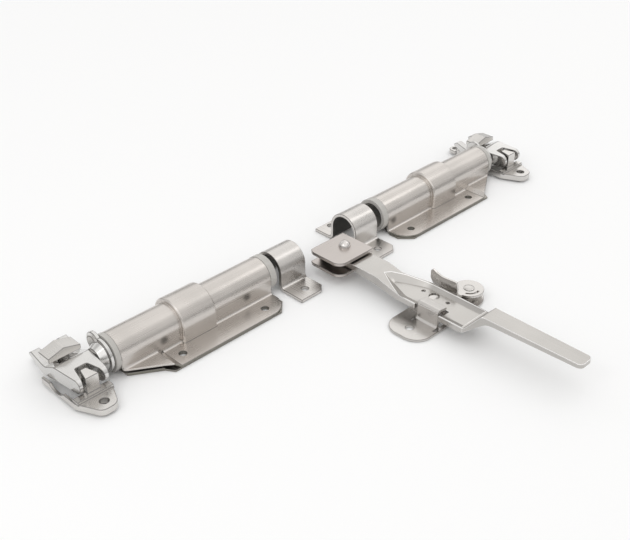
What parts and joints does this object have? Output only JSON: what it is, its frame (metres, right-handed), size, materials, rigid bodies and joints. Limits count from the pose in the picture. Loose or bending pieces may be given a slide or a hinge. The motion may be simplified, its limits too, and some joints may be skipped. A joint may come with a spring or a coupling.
{
  "type": "container door lock bar gear",
  "caption": "Door locking gear for a turning bar: end cams with keepers, long bearing brackets, saddle guides, a flat handle on a riveted hub and the catch that holds the handle down.",
  "frame": {"origin": "on the door face, directly below the bar axis, midway between the two long brackets", "axes": "+X along the bar, +Z out of the door, and the handle points to -Y"},
  "size_m": [0.7593, 0.4498, 0.0485],
  "materials": {
    "pressed_steel": "satin stainless sheet",
    "backing_steel": "satin stainless sheet",
    "bush_plastic": "plain light grey",
    "keeper_steel": "tumbled stainless casting",
    "cam_steel": "polished stainless casting",
    "hub_steel": "satin stainless plate",
    "rivet_steel": "polished stainless head",
    "handle_steel": "satin stainless forging",
    "catch_steel": "satin stainless sheet",
    "lever_steel": "satin stainless sheet"
  },
  "bodies": {
    "frame_set": {"right_saddle": "pressed_steel", "right_bracket_cover": "pressed_steel", "right_backing_plate": "backing_steel", "right_bushes": "bush_plastic", "right_keeper": "keeper_steel", "left_saddle": "pressed_steel", "left_bracket_cover": "pressed_steel", "left_backing_plate": "backing_steel", "left_bushes": "bush_plastic", "left_keeper": "keeper_steel", "catch_base": "catch_steel", "catch_pin": "rivet_steel"},
    "hub": {"hub_top_plate": "hub_steel", "hub_bottom_plate": "hub_steel", "hub_web": "hub_steel", "hub_rivet": "rivet_steel"},
    "right_cam_bar": {"right_cam": "cam_steel"},
    "left_cam_bar": {"left_cam": "cam_steel"},
    "handle": {"handle": "handle_steel"},
    "catch": {"catch_lever": "lever_steel"}
  },
  "joints": [
    {"name": "bar_turn", "type": "hinge", "parent": "frame_set", "child": "hub", "pos_m": [0, 0, 0.022], "axis": [-1, 0, 0], "range_deg": [0, 90]},
    {"name": "right_cam_turn", "type": "hinge", "parent": "frame_set", "child": "right_cam_bar", "pos_m": [0.3, 0, 0.022], "axis": [-1, 0, 0], "range_deg": [0, 90]},
    {"name": "left_cam_turn", "type": "hinge", "parent": "frame_set", "child": "left_cam_bar", "pos_m": [-0.3, 0, 0.022], "axis": [-1, 0, 0], "range_deg": [0, 90]},
    {"name": "handle_swing", "type": "hinge", "parent": "hub", "child": "handle", "pos_m": [0.003, -0.0385, 0.022], "axis": [0, 0, 1], "range_deg": [0, 6]},
    {"name": "catch_turn", "type": "hinge", "parent": "frame_set", "child": "catch", "pos_m": [0.0605, -0.1843, 0.0105], "axis": [0, 0, -1], "range_deg": [0, 60]}
  ],
  "couplings": [
    {"joint": "right_cam_turn", "follows": "bar_turn", "ratio": 1},
    {"joint": "left_cam_turn", "follows": "bar_turn", "ratio": 1},
    {"joint": "catch_turn", "follows": "handle_swing", "ratio": 10}
  ]
}
